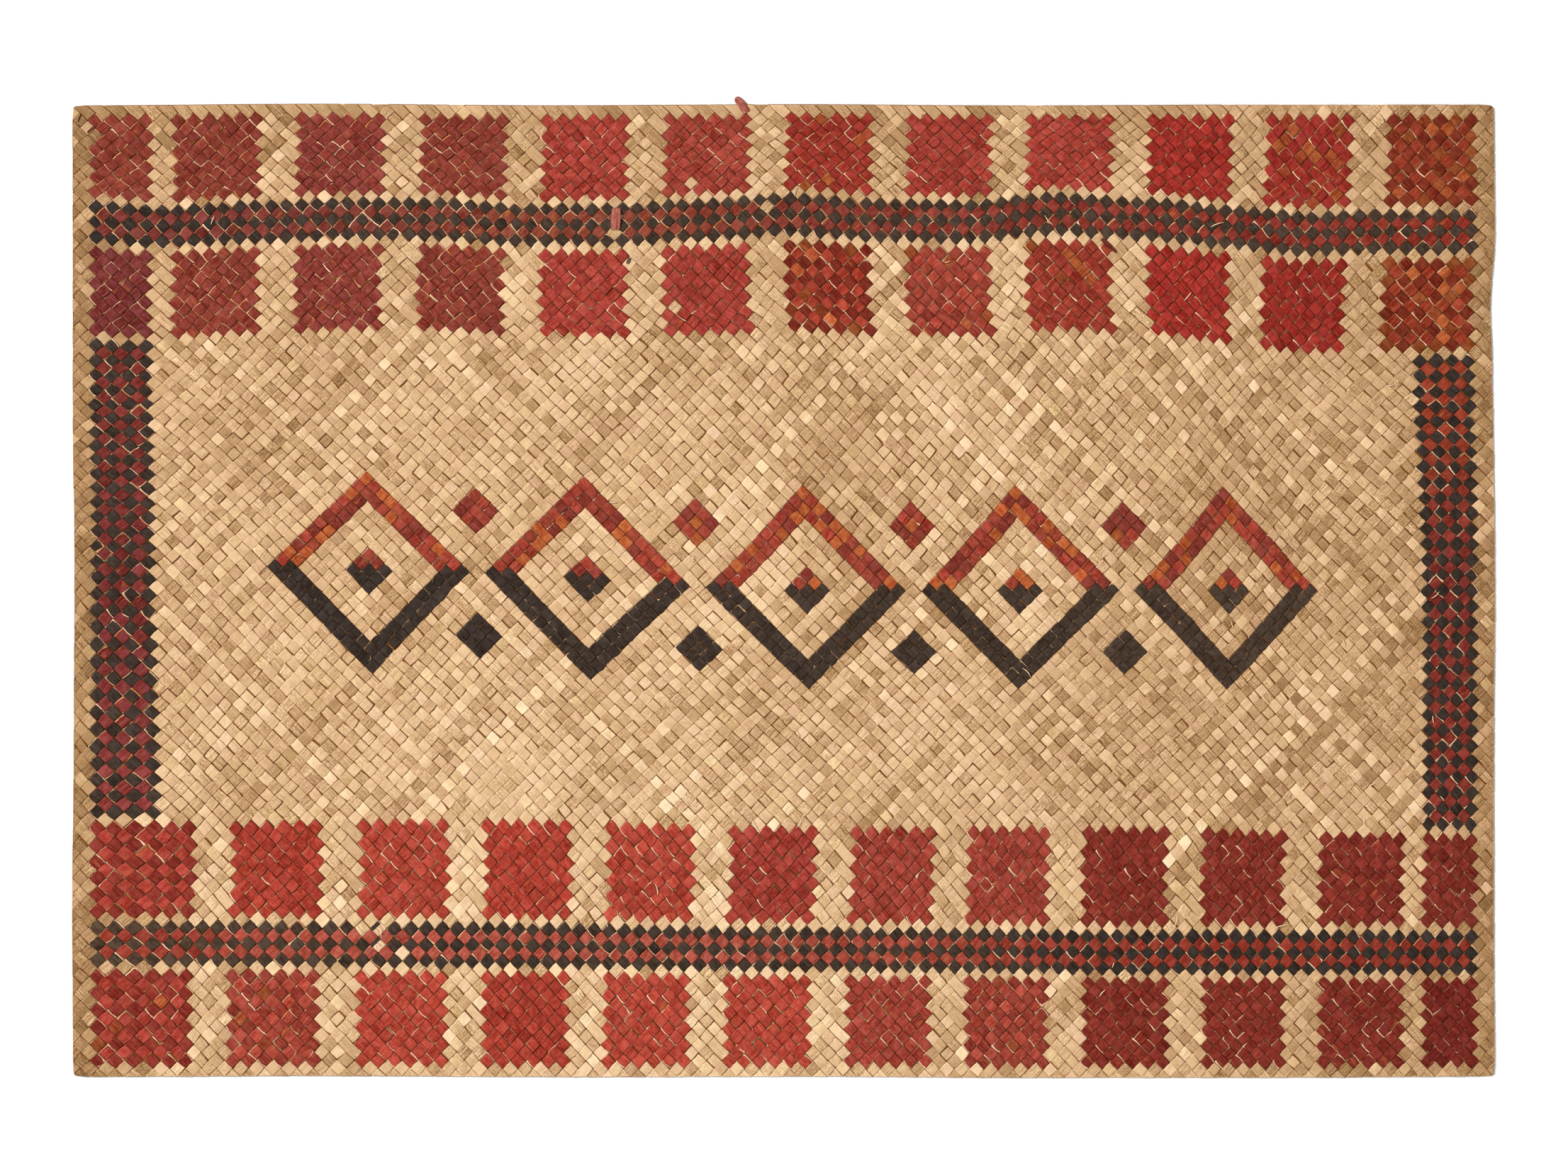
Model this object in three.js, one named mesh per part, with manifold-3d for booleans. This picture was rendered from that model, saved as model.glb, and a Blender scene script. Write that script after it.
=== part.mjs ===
// A plaited pandanus mat lying flat with its face up: one sheet with turned edges. The dyed
// strips are laid over the plain ones, so the dyed panels stand a little proud of the face.
// Millimetres, +Z up, +Y towards the far edge, origin under the middle of the box.
import * as THREE from "three";
import { mergeVertices } from "three/addons/utils/BufferGeometryUtils.js";
import Module from "manifold-3d";

// The plait is counted in half diamonds: columns from the left edge, rows from the far edge.
const COLUMNS = 186;
const ROWS = 124;
const COLUMN_STEP = 4.9;
const ROW_STEP = 5.025;
const LENGTH = COLUMNS * COLUMN_STEP;
const WIDTH = ROWS * ROW_STEP;

// The sheet and the dyed panels on it
const SHEET_THICKNESS = 1.6;
const EDGE_ROUND = 0.6;
const EDGE_ROUND_STEPS = 2;
const CORNER_RADIUS = 4;
const CORNER_STEPS = 3;
const DYED_RISE = 0.5;
const PANEL_ROOT = 0.8;
const BAND_STEPS = 30;
const HALF_TOOTH = 0.5;
const MERGE_WITHIN = 1e-4;

// One strip end that has worked loose at the far edge
const LOOSE_END = { x: -29, width: 5, length: 20, reach: 5.4, lean: 36, thickness: 0.6, height: 0.7 };
const LOOSE_END_ROUND_STEPS = 5;
const MIDDLE_Y = -LOOSE_END.reach / 2;

// How far each side bulges outwards, from its first corner to its last, going anticlockwise
const SIDE_BULGES = {
  near: [0, -0.6, 0.1, -0.2, 0.6, 0.5, -0.2],
  right: [0.1, -0.5, -0.5, 0.2, 0.7, 0.3, -0.4],
  far: [0.3, 0.2, -0.4, 0.4, -0.3, 0.7, -0.3],
  left: [0.4, 0.2, 0.2, -0.9, -0.5, 0.5, 0],
};
const STEPS_PER_BULGE = 2;

// How far the hand-laid plait wanders to the right and upwards, by row, at seven columns
const WANDER_COLUMNS = [0, 14, 46, 93, 140, 165, 186];
const WANDER = [
  { row: 0, right: [0, 4, 6, 5, 2, -1, 0], up: [0, 0, 0, 0, 0, 0, 0] },
  { row: 16, right: [0, 4, 5, 4, 1, -4, 0], up: [6, 6, 6, 7, 6, 3, 0] },
  { row: 26, right: [0, 3, 3, 4, 1, -7, -3], up: [7, 7, 7, 6, 5, 0, -2] },
  { row: 32, right: [0, 4, 4, 8, 5, -7, -2], up: [7, 8, 9, 7, 6, -1, -3] },
  { row: 62, right: [0, 6, 9, 15, 14, 4, 0], up: [19, 17, 12, 0, 0, 0, 0] },
  { row: 92, right: [0, 11, 16, 18, 9, 5, 0], up: [9, 9, 11, 6, 6, 2, 1] },
  { row: 99, right: [2, 12, 18, 18, 7, 3, 0], up: [7, 7, 7, 3, 2, 1, 0] },
  { row: 108, right: [3, 9, 16, 14, 8, 3, 0], up: [5, 5, 4, 1, -1, -1, -1] },
  { row: 124, right: [3, 9, 16, 14, 8, 3, 0], up: [0, 0, 0, 0, 0, 0, 0] },
];

// The far band ripples more than that: its extra height at even steps along it, and how the
// ripple dies away above and below the band
const RIPPLE = [0, -3.5, -0.5, 1.3, 1.3, -2.6, -2.9, 0, 3.5, 0, -0.6, 4.6, 1.6, -2.3, -5, -2.5, 0];
const RIPPLE_ROWS = [0, 8, 24, 44];
const RIPPLE_SHARES = [0, 1, 1, 0];

// The dyed design: rows of blocks, checked bands along the length and down the sides
const BLOCK = { diamonds: 6, endDiamonds: 4, period: 16, count: 11 };
const BLOCK_ROWS = [
  { firstRow: 2, firstColumn: 13, endColumn: 3 },
  { firstRow: 20, firstColumn: 13, endColumn: 3 },
  { firstRow: 94, firstColumn: 3, endColumn: 177 },
  { firstRow: 112, firstColumn: 3, endColumn: 177 },
];
const BLOCK_LAST_ROW = 10;
const BANDS = [
  { firstRow: 14, lastRow: 18, firstColumn: 3, lastColumn: 183 },
  { firstRow: 106, lastRow: 110, firstColumn: 3, lastColumn: 183 },
  { firstRow: 32, lastRow: 92, firstColumn: 3, lastColumn: 9 },
  { firstRow: 32, lastRow: 92, firstColumn: 177, lastColumn: 183 },
];

// The middle ornament: a line of hollow lozenges, small lozenges inside and between them
const LOZENGE_ROW = 62;
const LOZENGE_COLUMNS = [37, 65, 93, 121, 149];
const LOZENGE = { reach: 13, holeReach: 9, heartReach: 3 };
const BETWEEN_COLUMNS = [51, 79, 107, 135];
const BETWEEN_ROWS = [54, 70];

const wasm = await Module();
wasm.setup();

// The value at one place of a list given at rising stations, eased from each to the next
function eased(stations, values, at) {
  const inside = THREE.MathUtils.clamp(at, stations[0], stations.at(-1));
  const next = Math.max(1, stations.findIndex((station) => station >= inside));
  const share = THREE.MathUtils.smoothstep(inside, stations[next - 1], stations[next]);
  return THREE.MathUtils.lerp(values[next - 1], values[next], share);
}

function evenStations(count, end) {
  return Array.from({ length: count }, (unused, index) => (end * index) / (count - 1));
}

function wander(row, column, way) {
  const atColumn = WANDER.map((line) => eased(WANDER_COLUMNS, line[way], column));
  const rows = WANDER.map((line) => line.row);
  return eased(rows, atColumn, row);
}

// Where a row and a column of the plait lie on the mat
function place(row, column) {
  const ripple = eased(evenStations(RIPPLE.length, COLUMNS), RIPPLE, column);
  const rippleShare = eased(RIPPLE_ROWS, RIPPLE_SHARES, row);
  const x = (column - COLUMNS / 2) * COLUMN_STEP + wander(row, column, "right");
  const y = (ROWS / 2 - row) * ROW_STEP + wander(row, column, "up") + ripple * rippleShare;
  return new THREE.Vector2(x, MIDDLE_Y + y);
}

// One side of the outline, from just after one corner to just before the next
function sidePoints(start, end, bulges) {
  const along = end.clone().sub(start);
  const length = along.length();
  along.normalize();
  const outwards = new THREE.Vector2(along.y, -along.x);
  const stations = evenStations(bulges.length, length);
  const distances = evenStations((bulges.length - 1) * STEPS_PER_BULGE + 1, length);
  return distances.map((distance) => {
    const inside = THREE.MathUtils.clamp(distance, CORNER_RADIUS, length - CORNER_RADIUS);
    return start.clone().addScaledVector(along, inside)
      .addScaledVector(outwards, eased(stations, bulges, distance));
  });
}

function matOutline() {
  const [right, far] = [LENGTH / 2, WIDTH / 2];
  const corners = [[-right, -far], [right, -far], [right, far], [-right, far]]
    .map(([x, y]) => new THREE.Vector2(x, y + MIDDLE_Y));
  const shape = new THREE.Shape();
  Object.values(SIDE_BULGES).forEach((bulges, index) => {
    const corner = corners[index];
    const side = sidePoints(corner, corners[(index + 1) % corners.length], bulges);
    if (index === 0) shape.moveTo(side[0].x, side[0].y);
    else shape.quadraticCurveTo(corner.x, corner.y, side[0].x, side[0].y);
    side.slice(1).forEach((point) => shape.lineTo(point.x, point.y));
  });
  const start = shape.curves[0].v1;
  shape.quadraticCurveTo(corners[0].x, corners[0].y, start.x, start.y);
  return shape;
}

function solidOf(geometry) {
  geometry.deleteAttribute("normal");
  geometry.deleteAttribute("uv");
  const merged = mergeVertices(geometry, MERGE_WITHIN);
  return new wasm.Manifold(new wasm.Mesh({
    numProp: 3,
    vertProperties: merged.getAttribute("position").array,
    triVerts: new Uint32Array(merged.getIndex().array),
  }));
}

function sheetSolid() {
  const geometry = new THREE.ExtrudeGeometry(matOutline(), {
    depth: SHEET_THICKNESS - 2 * EDGE_ROUND,
    bevelThickness: EDGE_ROUND,
    bevelSize: EDGE_ROUND,
    bevelOffset: -EDGE_ROUND,
    bevelSegments: EDGE_ROUND_STEPS,
    curveSegments: CORNER_STEPS,
  });
  return solidOf(geometry.translate(0, 0, EDGE_ROUND));
}

// A raised panel over an outline given as rows and columns of the plait
function panelSolid(outline, hole) {
  const shape = new THREE.Shape(outline.map(([row, column]) => place(row, column)));
  if (hole) shape.holes.push(new THREE.Path(hole.map(([row, column]) => place(row, column))));
  const geometry = new THREE.ExtrudeGeometry(shape, {
    depth: PANEL_ROOT + DYED_RISE,
    bevelEnabled: false,
  });
  return solidOf(geometry.translate(0, 0, SHEET_THICKNESS - PANEL_ROOT));
}

// A rectangle of diamonds: its edge runs half way up the teeth that the diamonds make
function rectangleOutline({ firstRow, lastRow, firstColumn, lastColumn }, steps) {
  const [top, bottom] = [firstRow - HALF_TOOTH, lastRow + HALF_TOOTH];
  const [left, right] = [firstColumn - HALF_TOOTH, lastColumn + HALF_TOOTH];
  const shares = evenStations(steps + 1, 1);
  const wide = lastColumn - firstColumn > lastRow - firstRow;
  if (wide) {
    const columns = shares.map((share) => THREE.MathUtils.lerp(left, right, share));
    return [
      ...columns.map((column) => [top, column]),
      ...columns.reverse().map((column) => [bottom, column]),
    ];
  }
  const rows = shares.map((share) => THREE.MathUtils.lerp(top, bottom, share));
  return [
    ...rows.map((row) => [row, right]),
    ...rows.reverse().map((row) => [row, left]),
  ];
}

function blockSolids({ firstRow, firstColumn, endColumn }) {
  const blocks = Array.from({ length: BLOCK.count }, (unused, index) => ({
    column: firstColumn + index * BLOCK.period,
    diamonds: BLOCK.diamonds,
  }));
  blocks.push({ column: endColumn, diamonds: BLOCK.endDiamonds });
  return blocks.map(({ column, diamonds }) => panelSolid(rectangleOutline({
    firstRow,
    lastRow: firstRow + BLOCK_LAST_ROW,
    firstColumn: column,
    lastColumn: column + 2 * (diamonds - 1),
  }, 1)));
}

function lozengeOutline(row, column, reach) {
  return [[row - reach, column], [row, column - reach], [row + reach, column], [row, column + reach]];
}

function ornamentSolids() {
  const rings = LOZENGE_COLUMNS.map((column) => panelSolid(
    lozengeOutline(LOZENGE_ROW, column, LOZENGE.reach),
    lozengeOutline(LOZENGE_ROW, column, LOZENGE.holeReach),
  ));
  const hearts = LOZENGE_COLUMNS.map((column) => [LOZENGE_ROW, column]);
  const between = BETWEEN_ROWS.flatMap((row) => BETWEEN_COLUMNS.map((column) => [row, column]));
  const small = [...hearts, ...between].map(([row, column]) => panelSolid(
    lozengeOutline(row, column, LOZENGE.heartReach),
  ));
  return [...rings, ...small];
}

// A flat strip with a round tip that leans to the left as it comes out of the far edge
function looseEndSolid() {
  const { x, width, length, reach, lean, thickness, height } = LOOSE_END;
  const radius = width / 2;
  const shape = new THREE.Shape();
  shape.moveTo(radius, radius - length);
  shape.absarc(0, 0, radius, 0, Math.PI);
  shape.lineTo(-radius, radius - length);
  const geometry = new THREE.ExtrudeGeometry(shape, {
    depth: thickness,
    bevelEnabled: false,
    curveSegments: LOOSE_END_ROUND_STEPS,
  });
  geometry.rotateZ(THREE.MathUtils.degToRad(lean));
  return solidOf(geometry.translate(x, MIDDLE_Y + WIDTH / 2 + reach - radius, height));
}

function matGeometry() {
  const pieces = [
    looseEndSolid(),
    ...BLOCK_ROWS.flatMap(blockSolids),
    ...BANDS.map((band) => panelSolid(rectangleOutline(band, BAND_STEPS))),
    ...ornamentSolids(),
  ];
  const whole = pieces.reduce((sheet, piece) => sheet.add(piece), sheetSolid());
  const { vertProperties, triVerts } = whole.getMesh();
  const geometry = new THREE.BufferGeometry();
  geometry.setAttribute("position", new THREE.BufferAttribute(vertProperties, 3));
  geometry.setIndex(new THREE.BufferAttribute(triVerts, 1));
  geometry.computeVertexNormals();
  return geometry;
}

const pandanus = new THREE.MeshStandardMaterial({ color: 0xcfae7e, roughness: 0.7, metalness: 0 });
const mesh = new THREE.Mesh(matGeometry(), pandanus);
mesh.name = "mat";

const mat = new THREE.Group();
mat.add(mesh);

export default mat;
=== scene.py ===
"""A pandanus mat plaited on the bias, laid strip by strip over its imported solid."""

import math

import bpy
import numpy as np
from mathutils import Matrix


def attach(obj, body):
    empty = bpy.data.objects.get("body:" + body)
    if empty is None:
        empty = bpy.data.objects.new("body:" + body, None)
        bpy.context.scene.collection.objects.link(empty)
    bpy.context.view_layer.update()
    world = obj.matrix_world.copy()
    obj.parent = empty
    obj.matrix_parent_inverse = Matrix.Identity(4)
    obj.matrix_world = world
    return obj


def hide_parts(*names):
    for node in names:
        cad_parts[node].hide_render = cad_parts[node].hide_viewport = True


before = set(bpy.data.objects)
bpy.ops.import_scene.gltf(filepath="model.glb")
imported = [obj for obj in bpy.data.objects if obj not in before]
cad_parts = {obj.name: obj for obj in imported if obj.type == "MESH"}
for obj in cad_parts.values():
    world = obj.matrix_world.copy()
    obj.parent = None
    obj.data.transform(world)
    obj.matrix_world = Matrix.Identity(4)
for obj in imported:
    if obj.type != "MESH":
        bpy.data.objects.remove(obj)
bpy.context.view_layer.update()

MM = 0.001
SEED = 11
random = np.random.default_rng(SEED)

# The plait is counted in half diamonds: columns from the left edge, rows from the far edge
COLUMNS = 186
ROWS = 124
COLUMN_STEP = 4.9 * MM
ROW_STEP = 5.025 * MM
STRIP_PITCH = 7.02 * MM
MIDDLE_Y = -2.7 * MM
MAT_WIDTH = ROWS * ROW_STEP

# How far the plait has wandered from a true grid, in millimetres
WANDER_COLUMNS = [0, 14, 46, 93, 140, 165, 186]
WANDER_ROWS = [0, 16, 26, 32, 62, 92, 99, 108, 124]
WANDER_RIGHT = [
    [0, 4, 6, 5, 2, -1, 0],
    [0, 4, 5, 4, 1, -4, 0],
    [0, 3, 3, 4, 1, -7, -3],
    [0, 4, 4, 8, 5, -7, -2],
    [0, 6, 9, 15, 14, 4, 0],
    [0, 11, 16, 18, 9, 5, 0],
    [2, 12, 18, 18, 7, 3, 0],
    [3, 9, 16, 14, 8, 3, 0],
    [3, 9, 16, 14, 8, 3, 0],
]
WANDER_UP = [
    [0, 0, 0, 0, 0, 0, 0],
    [6, 6, 6, 7, 6, 3, 0],
    [7, 7, 7, 6, 5, 0, -2],
    [7, 8, 9, 7, 6, -1, -3],
    [19, 17, 12, 0, 0, 0, 0],
    [9, 9, 11, 6, 6, 2, 1],
    [7, 7, 7, 3, 2, 1, 0],
    [5, 5, 4, 1, -1, -1, -1],
    [0, 0, 0, 0, 0, 0, 0],
]
RIPPLE = [0, -3.5, -0.5, 1.3, 1.3, -2.6, -2.9, 0, 3.5, 0, -0.6, 4.6, 1.6, -2.3, -5, -2.5, 0]
RIPPLE_COLUMNS = np.linspace(0, COLUMNS, len(RIPPLE))
RIPPLE_ROWS = [0, 8, 24, 44]
RIPPLE_SHARES = [0, 1, 1, 0]

# How far each side bulges outwards, going anticlockwise round the mat, in millimetres
SIDE_BULGES = {
    "near": [0, -0.6, 0.1, -0.2, 0.6, 0.5, -0.2],
    "right": [0.1, -0.5, -0.5, 0.2, 0.7, 0.3, -0.4],
    "far": [0.3, 0.2, -0.4, 0.4, -0.3, 0.7, -0.3],
    "left": [0.4, 0.2, 0.2, -0.9, -0.5, 0.5, 0],
}
EDGE_KEEP = 8
CORNER_RADIUS = 4 * MM

# A strip's own shape; widths and lengths along it are shares of the strip pitch
FALL, RISE = range(2)
HALF_WIDTH = 0.494
FLAT_SHARE = 0.84
SIDES = np.array([-1, -FLAT_SHARE, FLAT_SHARE, 1])
PROFILE = np.array([0, 1, 1, 0])
PINCH = 0.032
OVERLAY_PINCH = 0.055
COVERED_EDGE = 0.7
COVERED_INSET = 0.03
PLATEAU = 0.43
TUCK = 1 - PLATEAU
END_INSETS = np.array([0, 0.12, 0.14, 0.16])
END_LIFTS = np.array([0.1, 0.85, 1, 1])
WAVE = 0.46 * MM
CROWN = 0.36 * MM
LOWEST = 0.05 * MM
FLOOR_GAP = 0.02 * MM
MIDDLE_Z = LOWEST + WAVE
TOP_Z = MIDDLE_Z + WAVE + CROWN
TILT = 0.1 * MM
BOW = 0.2 * MM
OVERLAY_BOW = 0.4 * MM
END_JITTER = 0.11 * MM
END_UNEVEN = 0.05
CRISP_FROM = 0.2

# Strips laid over the plait: where their sections lie along them, and how high they stand
OVERLAY_STEPS = np.array([-TUCK, -PLATEAU, 0, PLATEAU, TUCK])
BAR_STEPS = np.array([-TUCK, -PLATEAU, 0, PLATEAU, 1, 1 + PLATEAU, 1 + TUCK])
OVERLAY_RISE = 0.28 * MM
LAID_CROWN = 0.9 * CROWN
LAID_TILT = 0.5
LAID_END_DROP = 0.7

# Each strip's number shifts its grain
STRIP_NUMBERS = 100
LAID_NUMBER_STEP = 0.37

PLAIN, RED, BLACK = range(3)


def eased_pair(stations, at):
    """The station before each value, and its eased share of the way to the next one."""
    stations = np.asarray(stations, float)
    at = np.clip(at, stations[0], stations[-1])
    after = np.clip(np.searchsorted(stations, at), 1, len(stations) - 1)
    share = (at - stations[after - 1]) / (stations[after] - stations[after - 1])
    return after - 1, share * share * (3 - 2 * share)


def eased(stations, values, at):
    """Values given at rising stations, eased from each to the next."""
    before, share = eased_pair(stations, at)
    values = np.asarray(values, float)
    return values[before] * (1 - share) + values[before + 1] * share


def eased_table(table, rows, columns, row, column):
    """A table given at rising rows and columns, eased both ways."""
    table = np.asarray(table, float)
    above, down = eased_pair(rows, row)
    left, across = eased_pair(columns, column)
    upper = table[above, left] * (1 - across) + table[above, left + 1] * across
    lower = table[above + 1, left] * (1 - across) + table[above + 1, left + 1] * across
    return upper * (1 - down) + lower * down


def side_bulge(side, share, away):
    """How far a side pushes a point outwards, dying away from the edge."""
    stations = np.linspace(0, 1, len(SIDE_BULGES[side]))
    return eased(stations, SIDE_BULGES[side], share) * np.clip(1 - away / EDGE_KEEP, 0, 1)


def corner_pull(row, column):
    """How far the round corners draw a point in, to the right and upwards."""
    to_short_side = np.minimum(column, COLUMNS - column) * COLUMN_STEP
    to_long_side = np.minimum(row, ROWS - row) * ROW_STEP
    along = np.clip(CORNER_RADIUS - to_short_side, 0, CORNER_RADIUS)
    across = np.clip(CORNER_RADIUS - to_long_side, 0, CORNER_RADIUS)
    right = along * (1 - np.sqrt(1 - (across / CORNER_RADIUS) ** 2 / 2))
    up = across * (1 - np.sqrt(1 - (along / CORNER_RADIUS) ** 2 / 2))
    return right * np.sign(COLUMNS / 2 - column), up * np.sign(row - ROWS / 2)


def place(row, column):
    """Where a point of the plait lies on the floor."""
    right = eased_table(WANDER_RIGHT, WANDER_ROWS, WANDER_COLUMNS, row, column)
    right = right * np.clip(column / EDGE_KEEP, 0, 1)
    right = right + side_bulge("right", 1 - row / ROWS, COLUMNS - column)
    right = right - side_bulge("left", row / ROWS, column)
    up = eased_table(WANDER_UP, WANDER_ROWS, WANDER_COLUMNS, row, column)
    up = up + eased(RIPPLE_COLUMNS, RIPPLE, column) * eased(RIPPLE_ROWS, RIPPLE_SHARES, row)
    up = up + side_bulge("far", 1 - column / COLUMNS, row)
    up = up - side_bulge("near", column / COLUMNS, ROWS - row)
    pull_right, pull_up = corner_pull(row, column)
    x = (column - COLUMNS / 2) * COLUMN_STEP + right * MM + pull_right
    y = MIDDLE_Y + (ROWS / 2 - row) * ROW_STEP + up * MM + pull_up
    return x, y


def lattice(family, line, count, across):
    """The row and column of a point so many crossings along a strip and so far across it."""
    row = count + across
    if family == FALL:
        return row, count - line - across
    return row, line - count + across


def edge_limits(family, line, across):
    """The crossing counts at which a line across a strip meets the edges of the mat."""
    if family == FALL:
        low = np.maximum(-across, line + across)
        high = np.minimum(ROWS - across, COLUMNS + line + across)
    else:
        low = np.maximum(-across, line + across - COLUMNS)
        high = np.minimum(ROWS - across, line + across)
    return low, high


def nearest_cell(family, line, count):
    """The row and the column of the crossing nearest to a point of a strip."""
    row = np.clip(np.round(count), 0, ROWS).astype(int)
    column = np.clip(lattice(family, line, row, 0)[1], 0, COLUMNS).astype(int)
    return row, column


def rhythm(count):
    """1 at each crossing, and -1 halfway to the next one."""
    return np.cos(2 * math.pi * count)


def over_under(family, count):
    """1 where a strip lies on top, -1 where it lies below, and between where it dives."""
    crossing = np.round(count)
    side = np.where(crossing % 2 == family, 1.0, -1.0)
    return side * np.clip((0.5 - np.abs(count - crossing)) / (0.5 - PLATEAU), 0, 1)


# Random values with smooth changes, over the mat or along each strip
KNOT_ROWS = 64
KNOT_COLUMNS = 96


def knot_table():
    return random.normal(0, 1, (KNOT_ROWS, KNOT_COLUMNS))


def over_mat(knots, row, column, step):
    """A smooth value over the mat, from random knots so many half diamonds apart."""
    rows, columns = np.arange(KNOT_ROWS) * step, np.arange(KNOT_COLUMNS) * step
    return eased_table(knots, rows, columns, row, column)


def along_strips(knots, owner, count, step):
    """A smooth value along each strip, from random knots so many crossings apart."""
    before, share = eased_pair(np.arange(knots.shape[1]) * step, count)
    return knots[owner, before] * (1 - share) + knots[owner, before + 1] * share


# Neighbouring strips share their borders, which wander, so that no gap opens between them
STRIPS = (ROWS + COLUMNS) // 2
FIRST_LINES = [1 - COLUMNS, 1]
SLOW_STEP = 4
BORDER_WANDER = 0.036
SLOW_BORDER_WANDER = 0.042
border_knots = random.normal(0, BORDER_WANDER, (2, STRIPS + 1, ROWS + 2))
slow_border_knots = random.normal(0, SLOW_BORDER_WANDER, (2, STRIPS + 1, ROWS // SLOW_STEP + 3))


def strip_edges(family, line, count, half):
    """The left and the right edge of a strip across it, half its width away and wandering."""
    number = (line - FIRST_LINES[family]) // 2
    edges = []
    for side in (-1, 1):
        border = number + (side + 1) // 2
        row = count + side / 2
        wander = along_strips(border_knots[family], border, row, 1)
        wander = wander + along_strips(slow_border_knots[family], border, row, SLOW_STEP)
        edges.append(side * half + wander)
    return edges


def between(left, right):
    """The four points of each section, from its left edge to its right one."""
    return (left + right)[..., None] / 2 + (right - left)[..., None] / 2 * SIDES


# The dyed pattern, charted in rows and columns of the plait
BLOCK_SPAN = 11
BLOCK_PERIOD = 16
BLOCK_COUNT = 11
END_BLOCK_SPAN = 7
BLOCK_ROWS = [
    {"row": 2, "column": 13, "end": 3, "dyes": "n n p n c q y c c v w o"},
    {"row": 20, "column": 13, "end": 3, "dyes": "u n p n c c t b e v v o"},
    {"row": 94, "column": 3, "end": 177, "dyes": "a r s r s c q q d d d d"},
    {"row": 112, "column": 3, "end": 177, "dyes": "a b s r s s q b d d d x"},
]
BAND_ROWS = [range(14, 19), range(106, 111)]
BAND_COLUMNS = range(3, 184)
SIDE_ROWS = range(32, 93)
SIDE_COLUMNS = [range(3, 10), range(177, 184)]
UNDYED = [(4, 3), (11, 80), (27, 78), (15, 90), (17, 70), (106, 35), (109, 40)]
TORN = [(106, 37), (108, 37)]
TORN_SHARE = 0.3
LOZENGE_ROW = 62
LOZENGE_COLUMNS = [37, 65, 93, 121, 149]
LOZENGE_REACH = 12
LOZENGE_HOLE = 8
LOZENGE_HEART = 2
SMALL_ROWS = [54, 70]
SMALL_COLUMNS = [51, 79, 107, 135]

# Each lot of dyed strips: its linear colour, how much darker its falling strips are, the share that
# has turned orange, and the shares of falling and of rising strips with a slit beside them
DYE_LOTS = {
    "n": ((0.262, 0.050, 0.034), 0, 0, (0.85, 0.95)),
    "p": ((0.263, 0.051, 0.039), 0, 0, (0.6, 0.75)),
    "u": ((0.195, 0.039, 0.036), 0.1, 0, (0.5, 0.6)),
    "c": ((0.393, 0.057, 0.041), 0, 0, (0.25, 0.12)),
    "v": ((0.350, 0.034, 0.025), 0.05, 0, (0.2, 0.12)),
    "q": ((0.360, 0.060, 0.041), 0, 0, (0.4, 0.3)),
    "b": ((0.348, 0.060, 0.039), 0.15, 0.04, (0.45, 0.45)),
    "r": ((0.430, 0.058, 0.037), 0, 0, (0.25, 0.06)),
    "s": ((0.445, 0.066, 0.042), 0, 0, (0.5, 0.08)),
    "w": ((0.344, 0.036, 0.027), 0, 0.2, (0.6, 0.6)),
    "o": ((0.245, 0.039, 0.019), 0.22, 0.3, (0.5, 0.6)),
    "d": ((0.233, 0.034, 0.023), 0.05, 0, (0.3, 0.25)),
    "e": ((0.315, 0.046, 0.029), 0.05, 0.08, (0.5, 0.45)),
    "y": ((0.345, 0.042, 0.029), 0.05, 0.05, (0.7, 0.7)),
    "x": ((0.182, 0.024, 0.017), 0.05, 0, (0.25, 0.25)),
    "a": ((0.328, 0.048, 0.033), 0.22, 0.03, (0.5, 0.5)),
    "t": ((0.262, 0.037, 0.022), 0.3, 0.12, (0.4, 0.45)),
}
BLOCK_SPREAD = 0.04
TURNED_SHARES = (0.5, 1)
DYED_SPREAD = 0.06
ORNAMENT_REDS = [
    (0.343, 0.062, 0.038),
    (0.250, 0.046, 0.032),
    (0.478, 0.120, 0.038),
    (0.374, 0.060, 0.038),
]
ORNAMENT_FADING = 0.6
ORANGE_DYE = (0.37, 0.098, 0.03)
BLACK_SHADE = (0.041, 0.030, 0.025)
FADED_BLACK = (0.100, 0.060, 0.037)

# Slits beside the dyed strips: their widths at falling and at rising ones, their taper, and how
# orange they are: at least, by the share of slits, at rising strips, and the spread
PALE_SLIT = (0.95, 0.66, 0.43)
ORANGE_SLIT = (0.62, 0.21, 0.065)
SLIT_WIDTHS = [(0.035, 0.095), (0.03, 0.07)]
SLIT_TAPER = 0.7
SLIT_ORANGE = {"least": 0.15, "by_share": 0.45, "rising": 0.15, "spread": 0.3}

# Along each band: its reds, the share of its strips with a slit, and how far its blacks have faded
BAND_REDS = {
    "far": (
        [30, 62, 102, 184],
        [(0.205, 0.046, 0.036), (0.282, 0.071, 0.042), (0.245, 0.047, 0.034), (0.290, 0.041, 0.027)],
    ),
    "near": (
        [12, 28, 80, 140],
        [(0.345, 0.057, 0.037), (0.450, 0.097, 0.066), (0.420, 0.092, 0.062), (0.290, 0.044, 0.027)],
    ),
    "left": ([42, 67, 87], [(0.210, 0.039, 0.031), (0.172, 0.031, 0.028), (0.260, 0.051, 0.046)]),
    "right": ([44, 58, 85], [(0.280, 0.047, 0.024), (0.200, 0.033, 0.027), (0.245, 0.040, 0.028)]),
}
BAND_SLITS = {
    "far": ([100, 120], [0.8, 0.3]),
    "near": ([3, 183], [0.35, 0.35]),
    "left": ([32, 92], [0.5, 0.4]),
    "right": ([32, 92], [0.35, 0.3]),
}
BLACK_FADING = {
    "far": ([5, 40, 184], [0.0, 0.35, 0.5]),
    "near": ([5, 30, 45, 60, 115, 130], [0.85, 0.55, 0.2, 0.35, 0.35, 0]),
    "left": ([32, 92], [0.15, 0.25]),
    "right": ([32, 92], [0.05, 0.1]),
}

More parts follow.
